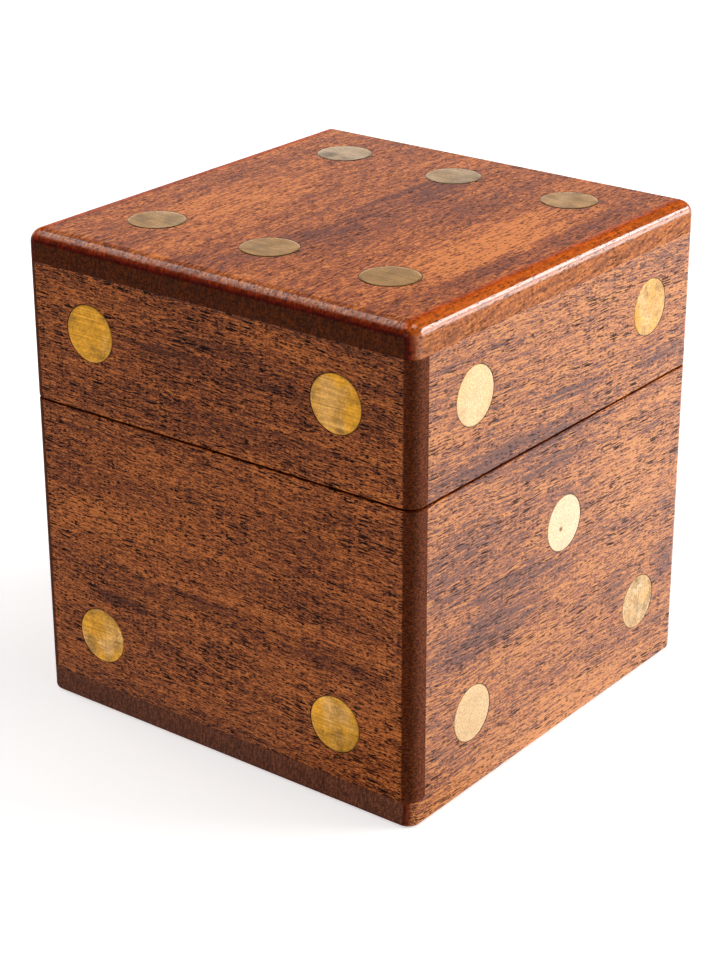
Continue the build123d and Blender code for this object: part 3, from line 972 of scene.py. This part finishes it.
class DICEBOX_OT_felt(bpy.types.Operator):
    """Lay a sheet of felt on the floor of the base"""

    bl_idname = "dicebox.felt"
    bl_label = "Felt"

    def execute(self, context):
        look = context.scene.dice_box_felt
        low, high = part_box("floor_felt")
        size, middle = high - low, (low + high) / 2
        across, along = round(size.x / look.spacing), round(size.y / look.spacing)
        shape = bmesh.new()
        bmesh.ops.create_grid(shape, x_segments=across, y_segments=along, size=0.5)
        for vertex in shape.verts:
            x, y = vertex.co.x * size.x, vertex.co.y * size.y
            edge = min(size.x / 2 - abs(x), size.y / 2 - abs(y))
            rolled = ROLL_DEPTH * max(0.0, 1 - edge / ROLL_WIDTH) ** 2
            swell = sum(
                noise.noise(Vector((x, y, start)) / length) * height
                for start, length, height in SWELLS
            )
            vertex.co = Vector((middle.x + x, middle.y + y, high.z - NAP - rolled + swell))
        # The cut edge goes down in faces made one by one, so that they come in the same order.
        rim = [edge for edge in shape.edges if edge.is_boundary]
        foot = {}
        for vertex in (v for edge in rim for v in edge.verts):
            if vertex not in foot:
                foot[vertex] = shape.verts.new((vertex.co.x, vertex.co.y, low.z))
        for edge in rim:
            first, second = edge.verts
            shape.faces.new((first, second, foot[second], foot[first]))
        bmesh.ops.contextual_create(shape, geom=[e for e in shape.edges if e.is_boundary])
        bmesh.ops.recalc_face_normals(shape, faces=shape.faces)
        mesh = mesh_of(shape, "felt_lining")
        mesh.shade_smooth()
        mesh.materials.append(felt("pressed wool felt", look))
        piece = linked("felt_lining", mesh)
        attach(piece, "base")
        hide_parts("floor_felt")
        return {"FINISHED"}


# --- Stage --------------------------------------------------------------------------------------

# Where each softbox stands from the middle of the box, as a direction and a distance in metres,
# its width and height in metres, and its power in watts.
LAMPS = {
    "overhead softbox": ((-0.587, -0.24, 0.77), 0.8, (0.58, 0.45), 2.2),
    "top fill": ((0.25, 0.1, 0.96), 0.9, (0.4, 0.4), 1.9),
    "right strip": ((0.654, 0.643, 0.44), 0.87, (0.55, 0.19), 4.0),
    "right card": ((0.73, 0.66, 0.17), 0.87, (0.55, 0.22), 2.0),
    "front card": ((-0.05, -0.95, 0.3), 0.9, (0.5, 0.4), 1.0),
}
CAMERA_AT = Vector((289.7, -378.4, 253.7)) * MM
CAMERA_AZIMUTH, CAMERA_ELEVATION, CAMERA_ROLL = (math.radians(a) for a in (37.62, 23.55, -0.11))
FLOOR_RADIUS = 6.0


def paper(name, look):
    """Pale matt paper for the floor. To the eye: white, with the soft shadow of the box."""
    material, put = new_material(name)
    path = put("ShaderNodeLightPath").outputs
    seen = put(MATH, path["Is Camera Ray"], path["Is Transmission Ray"], operation="MAXIMUM")
    place = put("ShaderNodeTexCoord").outputs["Object"]
    away = put(VECTOR_MATH, place, operation="LENGTH")
    # Far from the box the sheet rolls off to pure white; near it, it keeps the soft shadow.
    roll = put(RANGE, away, 0.12, 0.6, 0.54, 1.0)
    lift = put(MATH, seen, roll, operation="MULTIPLY")
    matt = put("ShaderNodeBsdfDiffuse", look.floor)
    lit = put("ShaderNodeAddShader", matt, put("ShaderNodeEmission", WHITE, lift))
    # In reflections only, the sheet is painted bright at the back right, and a painted dark patch,
    # like black card, lies at the front right.
    heading = put(VECTOR_MATH, place, operation="NORMALIZE")
    slant = put(VECTOR_MATH, heading, (0.71, 0.71, 0.0), operation="DOT_PRODUCT")
    card = put(VECTOR_MATH, heading, (0.61, -0.79, 0.0), operation="DOT_PRODUCT")
    front = put(RANGE, away, 0.3, 0.45, 1.0, 0.8)
    back = put(RANGE, away, 0.07, 0.16, 1.45, 1.75)
    level = put(RANGE, slant, -0.4, 0.8, front, back)
    shade = put(RANGE, card, 0.85, 0.97, 1.0, 0.45)
    level = put(MATH, level, shade, operation="MULTIPLY")
    mirrored = put("ShaderNodeEmission", WHITE, level)
    both = put("ShaderNodeMixShader", path["Is Glossy Ray"], lit, mirrored)
    put("ShaderNodeOutputMaterial", both)
    return material


def surroundings(name, look):
    """A world that is white to the camera.

    In reflections it is a white sweep that turns dark overhead and greyer behind the front left,
    and everything else has an even light from it.
    """
    world = bpy.data.worlds.new(name)
    world.use_nodes = True
    world.node_tree.nodes.clear()
    put = partial(add, world.node_tree)
    path = put("ShaderNodeLightPath").outputs
    heading = put("ShaderNodeTexCoord").outputs["Generated"]
    height = put("ShaderNodeSeparateXYZ", heading).outputs[2]
    sweep = put(RANGE, height, 0.26, 0.4, 1.25, 0.02, **EASED)
    behind = put(VECTOR_MATH, heading, (-0.6, -0.8, 0.0), operation="DOT_PRODUCT")
    behind = put(RANGE, behind, 0.35, 0.75, 1.0, 0.4)
    sweep = put(MATH, sweep, behind, operation="MULTIPLY")
    even = put("ShaderNodeBackground", WHITE, look.ambient)
    mirrored = put("ShaderNodeBackground", WHITE, sweep)
    white = put("ShaderNodeBackground", WHITE, 1.0)
    indirect = put("ShaderNodeMixShader", path["Is Glossy Ray"], even, mirrored)
    seen = put(MATH, path["Is Camera Ray"], path["Is Transmission Ray"], operation="MAXIMUM")
    put("ShaderNodeOutputWorld", put("ShaderNodeMixShader", seen, indirect, white))
    return world


class DICEBOX_OT_stage(bpy.types.Operator):
    """Set up the camera, lamps, floor and surroundings"""

    bl_idname = "dicebox.stage"
    bl_label = "Stage"

    def execute(self, context):
        look = context.scene.dice_box_stage
        scene = context.scene
        scene.view_settings.view_transform = "Standard"
        data = bpy.data.cameras.new("camera")
        data.lens = look.lens
        data.sensor_width = 36.0
        data.clip_end = 50.0
        camera = linked("camera", data)
        back = Vector((
            math.sin(CAMERA_AZIMUTH) * math.cos(CAMERA_ELEVATION),
            -math.cos(CAMERA_AZIMUTH) * math.cos(CAMERA_ELEVATION),
            math.sin(CAMERA_ELEVATION),
        ))
        right = Z_AXIS.cross(back).normalized()
        up = back.cross(right)
        turned = Matrix((right, up, back)).transposed().to_4x4()
        turned = turned @ Matrix.Rotation(CAMERA_ROLL, 4, "Z")
        camera.matrix_world = Matrix.Translation(CAMERA_AT) @ turned
        scene.camera = camera

        middle = (CAD_LOW + CAD_HIGH) / 2
        for name, (direction, distance, size, watts) in LAMPS.items():
            lamp = bpy.data.lights.new(name, "AREA")
            lamp.shape = "RECTANGLE"
            lamp.size, lamp.size_y = size
            lamp.energy = watts
            toward = Vector(direction).normalized()
            turned = toward.to_track_quat("Z", "Y").to_matrix().to_4x4()
            stood = linked(name, lamp)
            stood.matrix_world = Matrix.Translation(middle + toward * distance) @ turned

        shape = bmesh.new()
        bmesh.ops.create_circle(shape, cap_ends=True, segments=96, radius=FLOOR_RADIUS)
        mesh = mesh_of(shape, "floor")
        mesh.materials.append(paper("matt white paper", look))
        linked("floor", mesh)
        scene.world = surroundings("soft studio", look)
        return {"FINISHED"}


# --- Add-on -------------------------------------------------------------------------------------


class DICEBOX_PT_panel(bpy.types.Panel):
    """Buttons that make the pieces, and what may be changed before they are pressed"""

    bl_idname = "DICEBOX_PT_panel"
    bl_label = "Dice Box"
    bl_space_type = "VIEW_3D"
    bl_region_type = "UI"
    bl_category = "Dice Box"

    def draw(self, context):
        for operator in OPERATORS:
            self.layout.operator(operator.bl_idname)
        for group, kind in GROUPS.items():
            column = self.layout.column()
            column.label(text=kind.__doc__)
            for name in kind.__annotations__:
                column.prop(getattr(context.scene, group), name)


OPERATORS = (
    DICEBOX_OT_stage,
    DICEBOX_OT_boards,
    DICEBOX_OT_pips,
    DICEBOX_OT_hinges,
    DICEBOX_OT_screws,
    DICEBOX_OT_felt,
)
CLASSES = (*GROUPS.values(), *OPERATORS, DICEBOX_PT_panel)


def register():
    for kind in CLASSES:
        bpy.utils.register_class(kind)
    for name, kind in GROUPS.items():
        setattr(bpy.types.Scene, name, PointerProperty(type=kind))


def unregister():
    for name in GROUPS:
        delattr(bpy.types.Scene, name)
    for kind in reversed(CLASSES):
        bpy.utils.unregister_class(kind)


def main():
    register()
    for operator in OPERATORS:
        group, name = operator.bl_idname.split(".")
        getattr(getattr(bpy.ops, group), name)()


if __name__ == "__main__":
    main()
